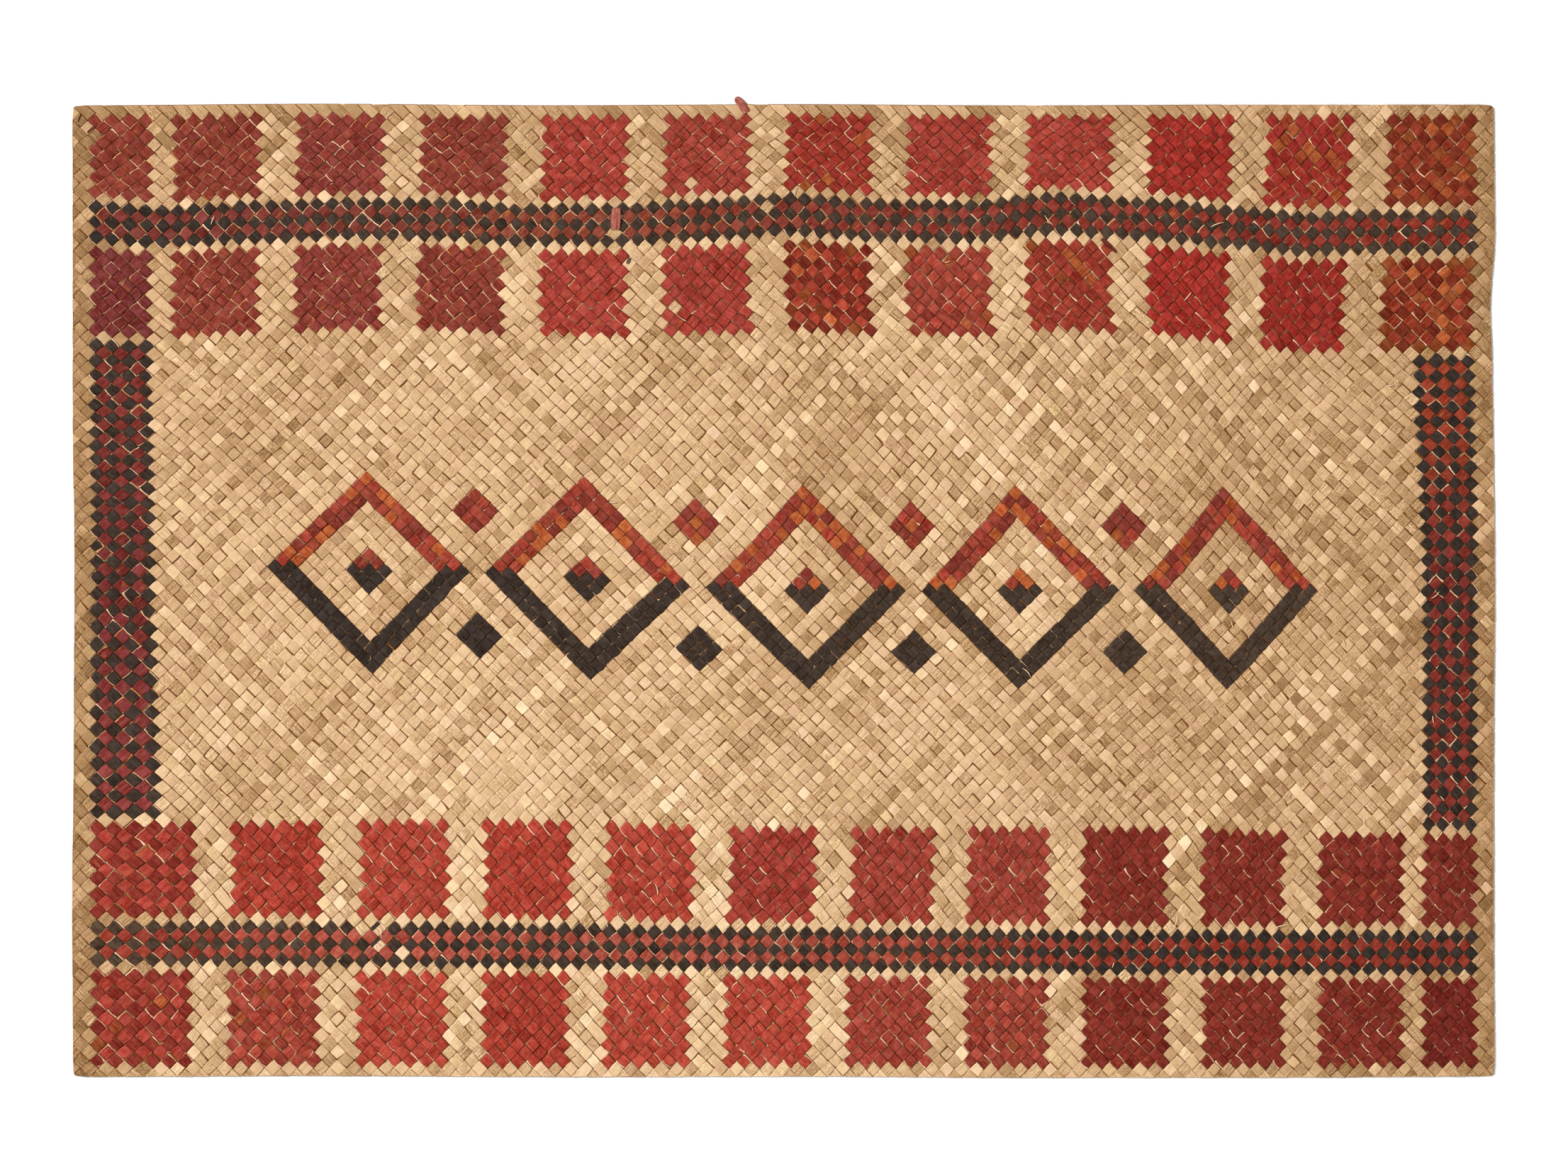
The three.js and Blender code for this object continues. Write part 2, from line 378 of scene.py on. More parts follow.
CELLS = (ROWS + 1, COLUMNS + 1)
dye = np.zeros(CELLS, int)
shade = np.zeros((*CELLS, 3))
slit = np.ones((*CELLS, 3)) * PALE_SLIT
slit_side = np.zeros(CELLS, int)


def cells(rows, columns):
    """The diamonds in a box of rows and columns."""
    return [(row, column) for row in rows for column in columns if (row + column) % 2]


def mixed(first, second, share):
    return np.asarray(first) * (1 - share) + np.asarray(second) * share


def block_boxes(block_row):
    """The columns of each block in a row of blocks, from the left."""
    starts = [block_row["column"] + BLOCK_PERIOD * n for n in range(BLOCK_COUNT)]
    boxes = [range(start, start + BLOCK_SPAN) for start in starts]
    boxes.append(range(block_row["end"], block_row["end"] + END_BLOCK_SPAN))
    return sorted(boxes, key=lambda box: box[0])


def chart_blocks():
    for block_row in BLOCK_ROWS:
        rows = range(block_row["row"], block_row["row"] + BLOCK_SPAN)
        for columns, letter in zip(block_boxes(block_row), block_row["dyes"].split()):
            colour, contrast, orange, slits = DYE_LOTS[letter]
            lightness = np.exp(random.normal(0, BLOCK_SPREAD, 2) + contrast * np.array([-1, 1]))
            for row, column in cells(rows, columns):
                dye[row, column] = RED
                turned = random.uniform(*TURNED_SHARES) * (random.random() < orange)
                shade[row, column] = mixed(colour, ORANGE_DYE, turned) * lightness[row % 2]
                open_slit(row, column, slits)


def open_slit(row, column, shares):
    """Now and then bares the plain strip at one side of a dyed one, pale or stained orange."""
    family = row % 2
    if random.random() < shares[family]:
        slit_side[row, column] = random.choice((-1, 1))
        mean = SLIT_ORANGE["least"] + SLIT_ORANGE["by_share"] * shares[RISE]
        mean = mean + SLIT_ORANGE["rising"] * family
        orange = np.clip(random.normal(mean, SLIT_ORANGE["spread"]), 0, 1)
        slit[row, column] = mixed(PALE_SLIT, ORANGE_SLIT, orange)


def chart_bands():
    boxes = [(rows, BAND_COLUMNS) for rows in BAND_ROWS]
    boxes += [(SIDE_ROWS, columns) for columns in SIDE_COLUMNS]
    for rows, columns in boxes:
        for row, column in cells(rows, columns):
            band, along = band_place(row, column)
            if row % 2:
                dye[row, column] = RED
                shade[row, column] = band_red(band, along)
            else:
                dye[row, column] = BLACK
                fading = np.interp(along, *BLACK_FADING[band])
                shade[row, column] = mixed(BLACK_SHADE, FADED_BLACK, fading)
            share = np.interp(along, *BAND_SLITS[band])
            open_slit(row, column, (share, share))


def band_place(row, column):
    """Which band a diamond is in, and how far along it."""
    if row < SIDE_ROWS[0]:
        return "far", column
    if row > SIDE_ROWS[-1]:
        return "near", column
    return ("left" if column < COLUMNS / 2 else "right"), row


def band_red(band, along):
    places, colours = BAND_REDS[band]
    return [np.interp(along, places, channel) for channel in zip(*colours)]


def chart_lozenge(centre_row, centre_column, hollow):
    """A lozenge of the middle band, hollow or small, red above the waist and black below."""
    reach = LOZENGE_REACH + 1
    rows = range(centre_row - reach, centre_row + reach)
    columns = range(centre_column - reach, centre_column + reach)
    for row, column in cells(rows, columns):
        away = abs(row - centre_row) + abs(column - centre_column)
        in_ring = hollow and LOZENGE_HOLE < away <= LOZENGE_REACH
        if not in_ring and away > LOZENGE_HEART:
            continue
        if row < LOZENGE_ROW:
            dye[row, column] = RED
            shade[row, column] = random.choice(ORNAMENT_REDS)
        else:
            dye[row, column] = BLACK
            fading = column / COLUMNS * ORNAMENT_FADING
            shade[row, column] = mixed(BLACK_SHADE, FADED_BLACK, fading)


def chart_pattern():
    chart_blocks()
    chart_bands()
    for column in LOZENGE_COLUMNS:
        chart_lozenge(LOZENGE_ROW, column, hollow=True)
    for row in SMALL_ROWS:
        for column in SMALL_COLUMNS:
            chart_lozenge(row, column, hollow=False)
    for row, column in UNDYED:
        dye[row, column] = PLAIN


chart_pattern()

# Natural strips: linear colours from the darkest tone to the palest
TONES = [-2.4, -1.2, 0, 1.1, 2.4]
TONE_COLOURS = [
    (0.290, 0.160, 0.068),
    (0.490, 0.287, 0.135),
    (0.737, 0.478, 0.262),
    (0.926, 0.657, 0.392),
    (0.995, 0.835, 0.560),
]
YELLOWER = np.array([0.0, 0.009, -0.016])

# How tones vary: from strip to strip, with a share of pale and of dark strips, from diamond to
# diamond, along each strip, and in patches over the mat
STRIP_SPREAD = 0.27
PALE_STRIPS = (0.08, 0.7)
DARK_STRIPS = (0.08, -0.55)
TONE_JITTER = 0.17
ALONG_SPREAD = 0.22
ALONG_STEP = 5
ALONG_KNOTS = 30
PATCH_DEPTH = 0.1
PATCH_STEP = 11
FINE_PATCH_STEP = 3
BAR_TONE = -0.1
BAR_SPREAD = 0.4

# How much grain shows: as a rule, from strip to strip, by diamond and by tone
GRAIN_MEAN = 0.5
GRAIN_SPREAD = 0.2
GRAIN_JITTER = 0.2
GRAIN_BY_TONE = 0.18
GRAIN_RANGE = (0.1, 1.1)
LAID_GRAIN_JITTER = 0.25
LAID_GRAIN_RANGE = (0.05, 1)

# How dark the painted shade and dirt are between strips, for each family, and where strips pass below
# or tuck in
LINE_DEPTHS = [1.15, 0.45]
LINE_SLOW = 0.2
LINE_STEP = 9
LINE_JITTER = 0.28
LINE_RANGE = (0.2, 1.6)
BELOW = -0.5
BELOW_SHADE_AND_DIRT = 1.3
TUCKED_SHADE_AND_DIRT = 1.5
LOOSE_EDGE_SHADE_AND_DIRT = 0.5

TILT_SLOW = 0.9
TILT_STEP = 12

# Layers with a random value for each diamond, and tables that change smoothly over the mat
LINE_NOISE, TILT_NOISE, TONE_NOISE, HUE_NOISE, GRAIN_NOISE, DYED_GRAIN_NOISE = range(6)
cell_noise = random.normal(0, 1, (6, *CELLS))
stain_knots = knot_table()
fine_knots = knot_table()
line_knots = [knot_table(), knot_table()]
tilt_knots = [knot_table(), knot_table()]

# Broad stains and pale places: the row and the column of each middle, how far it reaches down and
# across, and its tone
STAINS = [
    (2, 93, 9, 400, -0.5),
    (62, 0, 400, 5.5, -1.3),
    (62, 186, 400, 4, -0.8),
    (55, 178, 75, 34, -0.48),
    (60, 144, 22, 14, -0.45),
    (52, 99, 28, 7, -0.35),
    (48, 18, 36, 22, -0.32),
    (55, 122, 26, 6, 0.25),
    (112, 75, 18, 60, 0.35),
    (102, 82, 12, 12, 0.35),
    (62, 70, 12, 24, 0.25),
    (122, 168, 12, 28, -0.3),
    (122, 14, 12, 26, -0.35),
]


def natural_tone(row, column):
    """Darker and paler parts of the whole mat: stains, and the worn edges."""
    tone = PATCH_DEPTH * over_mat(stain_knots, row, column, PATCH_STEP)
    tone = tone + PATCH_DEPTH * over_mat(fine_knots, row, column, FINE_PATCH_STEP)
    for middle_row, middle_column, reach_down, reach_across, stain_tone in STAINS:
        down = (row - middle_row) / reach_down
        across = (column - middle_column) / reach_across
        tone = tone + stain_tone * np.exp(-(down**2 + across**2))
    return tone


def line_depth(family, row, column):
    """How dark the painted shade and dirt between the strips of a family are, here and there."""
    depth = LINE_DEPTHS[family] + LINE_SLOW * over_mat(line_knots[family], row, column, LINE_STEP)
    return np.clip(depth + LINE_JITTER * cell_noise[LINE_NOISE, row, column], *LINE_RANGE)


def tilt_at(family, row, column):
    """How far the strips of a family tip to one side, here and there."""
    slow = TILT_SLOW * over_mat(tilt_knots[family], row, column, TILT_STEP)
    return TILT * (cell_noise[TILT_NOISE, row, column] + slow)


def tone_colour(tone):
    return np.stack([np.interp(tone, TONES, channel) for channel in zip(*TONE_COLOURS)], -1)


def odd_ones(count, share, value):
    return np.where(random.random(count) < share, value, 0)


def strip_sections(family, lines):
    """Each section along each strip: its strip, crossing count, how near an end, and which end."""
    owners, counts, nears, ends = [], [], [], []
    for index, line in enumerate(lines):
        first, last = edge_limits(family, line, 0)
        inner = np.arange(first, last)[:, None] + np.array([PLATEAU, 1 - PLATEAU, 1])
        along = np.concatenate([[first, first], inner.ravel()[:-1], [last, last]])
        order = np.arange(len(along))
        owners.append(np.full(len(along), index))
        counts.append(along)
        nears.append(np.minimum(np.minimum(order, order[::-1]), len(END_INSETS) - 1))
        ends.append((order >= len(along) - 2).astype(int) - (order < 2))
    return [np.concatenate(part) for part in (owners, counts, nears, ends)]


def kept_inside(family, line, count, across, near, end, uneven):
    """Crossing counts of a section's points, held inside the mat and skewed along its edges."""
    low, high = edge_limits(family, line, across)
    inset = (END_INSETS[near] + uneven)[:, None] * np.minimum(1, high - low)
    inside = np.clip(count[:, None], low + inset, high - inset)
    inside = np.where(end[:, None] < 0, low + inset, inside)
    return np.where(end[:, None] > 0, high - inset, inside)


def woven_widths(family, line, count, covered, bared):
    """The points of each section across its strip, drawn in where a dyed strip covers them."""
    left, right = strip_edges(family, line, count, HALF_WIDTH * (1 + PINCH * rhythm(count)))
    left = left + COVERED_INSET * (covered & (bared >= 0))
    right = right - COVERED_INSET * (covered & (bared <= 0))
    return between(left, right)


def woven_heights(count, over, near, covered, tilt):
    """How high each point lies; a strip that lies on top is bowed, tipped and uneven."""
    shown = np.clip(over, 0, 1)
    beat = rhythm(count)
    profile = np.maximum(PROFILE, np.where(covered, COVERED_EDGE, 0)[:, None])
    z = MIDDLE_Z + WAVE * over * END_LIFTS[near][:, None] + CROWN * profile
    z = z + BOW * (beat[:, None] - 1) * shown
    z = z + (tilt[:, None] * SIDES) * shown
    lift = random.normal(0, END_JITTER, len(count)) * (beat < 0)
    z = z + lift[:, None] * shown
    return np.maximum(z, FLOOR_GAP)


def woven_tints(amount, owner, count, row, column, covered):
    """The colour of each section, and how much of its grain shows."""
    jitter = cell_noise[:, row, column]
    strip_tone = random.normal(0, STRIP_SPREAD, amount)
    strip_tone = strip_tone + odd_ones(amount, *PALE_STRIPS)
    strip_tone = strip_tone + odd_ones(amount, *DARK_STRIPS)
    tone = strip_tone[owner] + TONE_JITTER * jitter[TONE_NOISE] + natural_tone(row, column)
    along_knots = random.normal(0, ALONG_SPREAD, (amount, ALONG_KNOTS))
    tone = tone + along_strips(along_knots, owner, count, ALONG_STEP)
    colour = tone_colour(tone) * (1 + jitter[HUE_NOISE][:, None] * YELLOWER)
    colour = np.where(covered[:, None], slit[row, column], colour)
    grain = random.normal(GRAIN_MEAN, GRAIN_SPREAD, amount)[owner]
    grain = np.clip(grain + GRAIN_JITTER * jitter[GRAIN_NOISE] - GRAIN_BY_TONE * tone, *GRAIN_RANGE)
    return np.repeat(np.concatenate([colour, grain[:, None]], axis=1)[:, None], 4, axis=1)


def woven_dirt_and_shade(family, over, near, row, column, covered):
    """Dirt and painted crevice shade along the sides of each strip, and painted shade wherever it
    passes below.
    """
    dirt_and_shade = np.zeros(over.shape)
    # Dirt and painted crevice shade at the sides of each strip
    dirt_and_shade[:, [0, 3]] = np.where(covered, 0, line_depth(family, row, column))[:, None]
    # Painted shade where the strip passes below the other family
    below = (over[:, 0] < BELOW) & (near == len(END_INSETS) - 1)
    dirt_and_shade[below] = BELOW_SHADE_AND_DIRT * line_depth(1 - family, row, column)[below][:, None]
    return dirt_and_shade


def woven_strips(family, lines):
    """Natural strips of one family, over and under the other, as ribbon sections."""
    amount = len(lines)
    owner, count, near, end = strip_sections(family, lines)
    line = lines[owner]
    row, column = nearest_cell(family, line, count)
    covered = (dye[row, column] > PLAIN) & (row % 2 == family)
    across = woven_widths(family, line, count, covered, slit_side[row, column])
    uneven = random.uniform(0, END_UNEVEN, (2, amount))[(end > 0).astype(int), owner]
    along = kept_inside(family, line[:, None], count, across, near, end, uneven)
    x, y = place(*lattice(family, line[:, None], along, across))
    over = over_under(family, along)
    z = woven_heights(count, over, near, covered, tilt_at(family, row, column))
    tints = woven_tints(amount, owner, count, row, column, covered)
    number = random.random(amount)[owner] * STRIP_NUMBERS
    return {
        "points": np.stack([x, y, z], axis=-1),
        "tint": tints,
        "strip": strip_coordinates(along, across, number[:, None]),
        "dirt_and_shade": woven_dirt_and_shade(family, over, near, row, column, covered),
        "crisp": (np.abs(count - np.round(count)) > CRISP_FROM) | (near == 0),
        "sizes": np.bincount(owner),
        "mirrored": np.full(amount, family == RISE),
    }


def strip_coordinates(along, across, number):
    """Where a point lies along and across its strip, and the strip's number."""
    return np.stack(np.broadcast_arrays(along * STRIP_PITCH, across * STRIP_PITCH, number), -1)


def laid_heights(away, reach, tilt):
    """How high each point of a laid ribbon lies, so far along it from its middle."""
    height = np.clip((reach / 2 - np.abs(away)) / (0.5 - PLATEAU), -1, 1)
    ends = np.zeros(away.shape[1])
    ends[[0, -1]] = 1
    rise = OVERLAY_RISE * PROFILE * (1 - LAID_END_DROP * ends)[:, None]
    z = MIDDLE_Z + WAVE * height + LAID_CROWN + rise
    z = z + LAID_TILT * tilt[:, None, None] * SIDES
    z = z - OVERLAY_BOW * np.minimum(np.abs(2 * away / reach), 1) ** 2
    return np.maximum(z, FLOOR_GAP)


def laid_strips(family, line, steps, across, reach, colour, jitter):
    """Short ribbons laid over the plait at given crossing counts, each end tucked under."""
    lines = line[:, None, None]
    along = np.broadcast_to(steps[..., None], across.shape)
    if reach > 1:
        low, _ = edge_limits(family, lines, across)
        insets = END_INSETS[np.minimum(np.arange(steps.shape[1]), len(END_INSETS) - 1)]
        along = np.maximum(along, low + insets[:, None])
    x, y = place(*lattice(family, lines, along, across))
    row, column = nearest_cell(family, line, steps[:, 2])
    middle = (steps[:, :1] + steps[:, -1:])[..., None] / 2
    z = laid_heights(along - middle, reach, tilt_at(family, row, column))
    grain = np.clip(GRAIN_MEAN + LAID_GRAIN_JITTER * jitter, *LAID_GRAIN_RANGE)
    tint = np.concatenate([colour, grain[:, None]], axis=1)[:, None, None]
    # Dirt and painted crevice shade at the sides, and painted shade at the ends tucked under
    dirt_and_shade = np.zeros(across.shape)
    dirt_and_shade[..., [0, 3]] = line_depth(family, row, column)[:, None, None]
    dirt_and_shade[:, [0, -1]] = TUCKED_SHADE_AND_DIRT
    number = lines * LAID_NUMBER_STEP % STRIP_NUMBERS
    sections = steps.size
    crisp = np.ones(steps.shape, bool)
    crisp[:, 2:-2] = False
    return {
        "points": np.stack([x, y, z], axis=-1).reshape(sections, 4, 3),
        "tint": np.broadcast_to(tint, (*across.shape, 4)).reshape(sections, 4, 4),
        "strip": strip_coordinates(along, across, number).reshape(sections, 4, 3),
        "dirt_and_shade": dirt_and_shade.reshape(sections, 4),
        "crisp": crisp.ravel(),
        "sizes": np.full(len(line), steps.shape[1]),
        "mirrored": np.full(len(line), family == RISE),
    }


def overlay_strips(kind):
    """Dyed strips laid over the natural ones, one short ribbon for each diamond of that dye."""
    return joined([overlay_family(kind, FALL), overlay_family(kind, RISE)])


def overlay_steps(row, column):
    """The sections along each dyed strip; a torn one ends early."""
    steps = row[:, None] + OVERLAY_STEPS
    torn = np.array([cell in TORN for cell in zip(row, column)])
    torn_steps = row[:, None] - TUCK + TORN_SHARE * (OVERLAY_STEPS + TUCK)
    return np.where(torn[:, None], torn_steps, steps)


def overlay_widths(family, line, steps, bared):
    """The points of each section across a dyed strip, with its slit left open."""
    half = HALF_WIDTH * (1 + OVERLAY_PINCH * rhythm(steps))
    left, right = strip_edges(family, line[:, None], steps, half)
    tapers = random.uniform(-SLIT_TAPER, SLIT_TAPER, (len(line), 1))
    tapers = 1 + tapers * OVERLAY_STEPS / OVERLAY_STEPS[-1]
    width = random.uniform(*SLIT_WIDTHS[family], (len(line), 1)) * tapers
    return between(left + width * (bared < 0), right - width * (bared > 0))


def overlay_family(kind, family):
    row, column = np.nonzero(dye == kind)
    mine = row % 2 == family
    row, column = row[mine], column[mine]
    line = row - column if family == FALL else row + column
    steps = overlay_steps(row, column)
    across = overlay_widths(family, line, steps, slit_side[row, column][:, None])
    strip_tone = random.normal(0, DYED_SPREAD, ROWS + 2 * COLUMNS + 1)
    jitter = cell_noise[:, row, column]
    tone = strip_tone[line + COLUMNS] + DYED_SPREAD * jitter[TONE_NOISE]
    colour = shade[row, column] * np.exp(tone)[:, None]
    return laid_strips(family, line, steps, across, 1, colour, jitter[DYED_GRAIN_NOISE])


# Natural strips that float over two crossings: turned over the far edge, and beside the dyed parts
LAST_TURNED = 150
TURNED_SHARE = 0.93
BESIDE_SHARE = 0.35
BESIDE_FROM = 3


def cells_beside():
    """The diamonds at the left of each block, and at the right of the left side band."""
    beside = []
    for block_row in BLOCK_ROWS:
        for columns in block_boxes(block_row):
            for row in range(block_row["row"], block_row["row"] + BLOCK_SPAN - 2, 2):
                beside.append((row, columns[0] - 2))
    return beside + [(row + 1, SIDE_COLUMNS[0][-1] + 1) for row in SIDE_ROWS[::2]]


def bar_starts():
    """The line and the first crossing of every long bar."""
    turned = range(1, LAST_TURNED, 2)
    starts = [(-column, 0) for column in turned if random.random() < TURNED_SHARE]
    for row, column in cells_beside():
        chosen = random.random() < BESIDE_SHARE
        if chosen and column >= BESIDE_FROM and row % 2 == 0:
            starts.append((row - column, row))
    return starts


def long_bars():
    line, first = np.array(bar_starts()).T
    amount = len(line)
    steps = first[:, None] + BAR_STEPS
    across = between(*strip_edges(FALL, line[:, None], steps, HALF_WIDTH))
    tone = random.normal(BAR_TONE, BAR_SPREAD, amount) + natural_tone(first, first - line)
    grain = random.normal(0, 1, amount)
    return laid_strips(FALL, line, steps, across, 2, tone_colour(tone), grain)


# Loose strip ends: points in millimetres with heights over the plait, the way across, half widths
LOOSE_PINK = (0.42, 0.135, 0.1)
# The dark of a loose strip end, also used for a painted shadow
DARK_END_AND_PAINTED_SHADOW = (0.14, 0.03, 0.022)
LOOSE_ENDS = [
    {
        "path": [(-107.9, 229, 0.6), (-107.7, 233, 0.9), (-107.4, 238, 0.9), (-107.2, 242.5, 0.6)],
        "across": (0.99, 0.03, 0.12),
        "halves": [2.9, 3.2, 3.1, 2.7],
        "rise": 0.35 * MM,
        "colour": LOOSE_PINK,
        "grain": 0.6,
    },
    {
        "path": [(204, 223, 0.4), (208, 219, 0.9), (213, 214.5, 0.4)],
        "across": (-0.7, -0.7, 0),
        "halves": [1.2, 1.5, 0.8],
        "rise": 0.3 * MM,
        "colour": DARK_END_AND_PAINTED_SHADOW,
        "grain": 0.8,
    },
]

# The strip end past the far edge: its place and lean, and its sections as distances along it,
# heights and half widths
PLAIT_TOP = TOP_Z / MM
TIP_X = -29
TIP_OUT = 2.9
TIP_LEAN = 36
TIP_SECTIONS = [
    (-9.5, PLAIT_TOP + 0.3, 2.5),
    (-8, PLAIT_TOP + 0.4, 2.6),
    (-4, PLAIT_TOP + 0.3, 2.6),
    (-1, 1.5, 2.5),
    (1, 1.2, 2.2),
    (2, 1.1, 1.5),
    (2.45, 1.1, 0.6),
]
TIP_RISE = 0.4 * MM
TIP_GRAIN = 0.6

# Loose fibres: the middle, the angle in degrees and the length of each, in millimetres
FIBRES = [
    (278, 232, 20, 9),
    (259, 186, 50, 7),
    (-366, 235, 70, 6),
    (170, 235, 130, 8),
    (-19, -152, 120, 14),
    (11, -150, 60, 11),
    (251, -215, 75, 9),
    (319, -218, 15, 10),
    (-258, -222, 100, 6),
]
STRAY_FIBRES = 26
STRAY_SPANS = [(-430, 430), (-290, 280), (0, 180), (3, 8)]
FIBRE_COLOUR = (0.88, 0.66, 0.44)
FIBRE_SHARES = [-0.5, -0.17, 0.17, 0.5]
FIBRE_LIFTS = [0.3, 0.8, 0.9, 0.35]
FIBRE_HALVES = [0.15, 0.3, 0.28, 0.1]
FIBRE_BEND = 0.12
FIBRE_RISE = 0.15 * MM
FIBRE_GRAIN = 0.3

# Small damage that shows dark: a crack at the far left corner and an oval hole, and a painted shadow
# near the crack
HOLE_SHADE = (0.13, 0.085, 0.055)
CRACK_SHADE = (0.045, 0.022, 0.01)
MARKS = [
    ([(-450.4, 303), (-451.3, 300.6), (-452.3, 297.8)], [0.25, 0.4, 0.3], CRACK_SHADE),
    # A dark flake near the far left corner that paints a shadow
    ([(-446.3, 291), (-444, 293), (-441.7, 295)], [0.6, 0.8, 0.6], DARK_END_AND_PAINTED_SHADOW),
    (
        [(-100.3, 206.9), (-99.9, 207.6), (-98.7, 210.2), (-98.3, 210.9)],
        [0.5, 1.2, 1.2, 0.5],
        HOLE_SHADE,
    ),
]
MARK_LIFT = 0.1
MARK_GRAIN = 0.4


def free_ribbon(centres, across, halves, rise, colour, grain):
    """A loose ribbon through points in millimetres, with the way across it and its half widths."""
    centres = np.asarray(centres, float) * MM
    halves = np.asarray(halves, float) * MM
    offsets = halves[:, None] * SIDES
    points = centres[:, None] + np.asarray(across, float) * offsets[..., None]
    points[..., 2] += rise * PROFILE
    steps = np.linalg.norm(np.diff(centres, axis=0), axis=1)
    along = np.concatenate([[0], np.cumsum(steps)])[:, None] / STRIP_PITCH
    number = random.random() * STRIP_NUMBERS
    amount = len(centres)
    return {
        "points": points,
        "tint": np.broadcast_to((*colour, grain), (amount, 4, 4)),
        "strip": strip_coordinates(along, offsets / STRIP_PITCH, number),
        # Dirt and painted shade darken the edges of each loose ribbon
        "dirt_and_shade": np.broadcast_to(LOOSE_EDGE_SHADE_AND_DIRT * (1 - PROFILE), (amount, 4)),
        "crisp": np.isin(np.arange(amount), (0, amount - 1)),
        "sizes": np.array([amount]),
        "mirrored": np.array([False]),
    }


def end_past_edge():
    """The strip end that sticks out past the far edge."""
    lean = math.radians(TIP_LEAN)
    way = np.array([-math.sin(lean), math.cos(lean), 0])
    tip = np.array([TIP_X, (MIDDLE_Y + MAT_WIDTH / 2) / MM + TIP_OUT, 0])
    centres = [tip + way * distance + [0, 0, z] for distance, z, _ in TIP_SECTIONS]
    halves = [half for _, _, half in TIP_SECTIONS]
    return free_ribbon(centres, (way[1], -way[0], 0), halves, TIP_RISE, LOOSE_PINK, TIP_GRAIN)


def loose_end(path, **shape):
    return free_ribbon([(x, y, PLAIT_TOP + lift) for x, y, lift in path], **shape)


def loose_ends():
    """A strip end past the far edge, a strip end over the far band, and a frayed one."""
    return joined([end_past_edge()] + [loose_end(**end) for end in LOOSE_ENDS])


def fibre(x, y, angle, length):
    """A thin curved sliver that has come loose."""
    turn = math.radians(angle)
    way = np.array([math.cos(turn), math.sin(turn), 0])
    across = np.array([way[1], -way[0], 0])
    bend = random.uniform(-FIBRE_BEND, FIBRE_BEND) * length
    middle = np.array([x, y, PLAIT_TOP])
    points = [
        middle + way * share * length + across * bend * (1 - 4 * share * share) + [0, 0, lift]
        for share, lift in zip(FIBRE_SHARES, FIBRE_LIFTS)
    ]
    return free_ribbon(points, across, FIBRE_HALVES, FIBRE_RISE, FIBRE_COLOUR, FIBRE_GRAIN)


def dark_mark(path, halves, colour):
    """A thin dark flake that stands for a crack or a hole, or paints a shadow."""
    way = np.subtract(path[-1], path[0])
    way = way / np.linalg.norm(way)
    centres = [(x, y, PLAIT_TOP + MARK_LIFT) for x, y in path]
    return free_ribbon(centres, (way[1], -way[0], 0), halves, MARK_LIFT * MM, colour, MARK_GRAIN)


# Loose fibres and dark marks, one of which paints a shadow
def fibres_marks_and_painted_shadow():
    strays = zip(*[random.uniform(*span, STRAY_FIBRES) for span in STRAY_SPANS])
    fibres = [fibre(*row) for row in [*FIBRES, *strays]]
    return joined(fibres + [dark_mark(*mark) for mark in MARKS])


def joined(groups):
    return {key: np.concatenate([group[key] for group in groups]) for key in groups[0]}


# Meshes from ribbon sections of four points each: left edge, crown left, crown right, right edge
BAKE_ROW = 3 * ROWS + 6
BAKE_ACROSS = np.array([0.06, 0.18, 0.82, 0.94])
CAP_SHIFT = 0.4


def ribbon_faces(ribbons):
    """Quads round every ribbon and over both its ends, with each corner's shift in the bake map."""
    sizes, mirrored = ribbons["sizes"], ribbons["mirrored"]
    starts = np.concatenate([[0], np.cumsum(sizes)[:-1]])
    lasts = starts + sizes - 1
    follows = np.ones(sizes.sum(), bool)
    follows[lasts] = False
    near = np.nonzero(follows)[0][:, None] * 4
    side = np.arange(4)
    after = (side + 1) % 4
    walls = np.stack([near + side, near + after, near + 4 + after, near + 4 + side], -1).reshape(-1, 4)
    front = starts[:, None] * 4 + side[::-1]
    back = lasts[:, None] * 4 + side
    faces = np.concatenate([walls, front, back])
    shifts = np.zeros(faces.shape)
    shifts[len(walls) : len(walls) + len(front), 1:3] = -CAP_SHIFT
    shifts[len(walls) + len(front) :, 1:3] = CAP_SHIFT
    flip = np.concatenate([np.repeat(mirrored, 4 * (sizes - 1)), mirrored, mirrored])
    faces[flip] = faces[flip][:, ::-1]
    shifts[flip] = shifts[flip][:, ::-1]
    return faces, shifts


def bake_places(sizes):
    """Each section's place in a bake map that holds the ribbons end to end in rows."""
    row, start = 0, 1
    rows, along = [], []
    for size in sizes:
        if start + size + 1 > BAKE_ROW:
            row, start = row + 1, 1
        rows.append(np.full(size, row))
        along.append(start + np.arange(size))
        start += size + 1
    return np.concatenate(rows), np.concatenate(along), row + 1


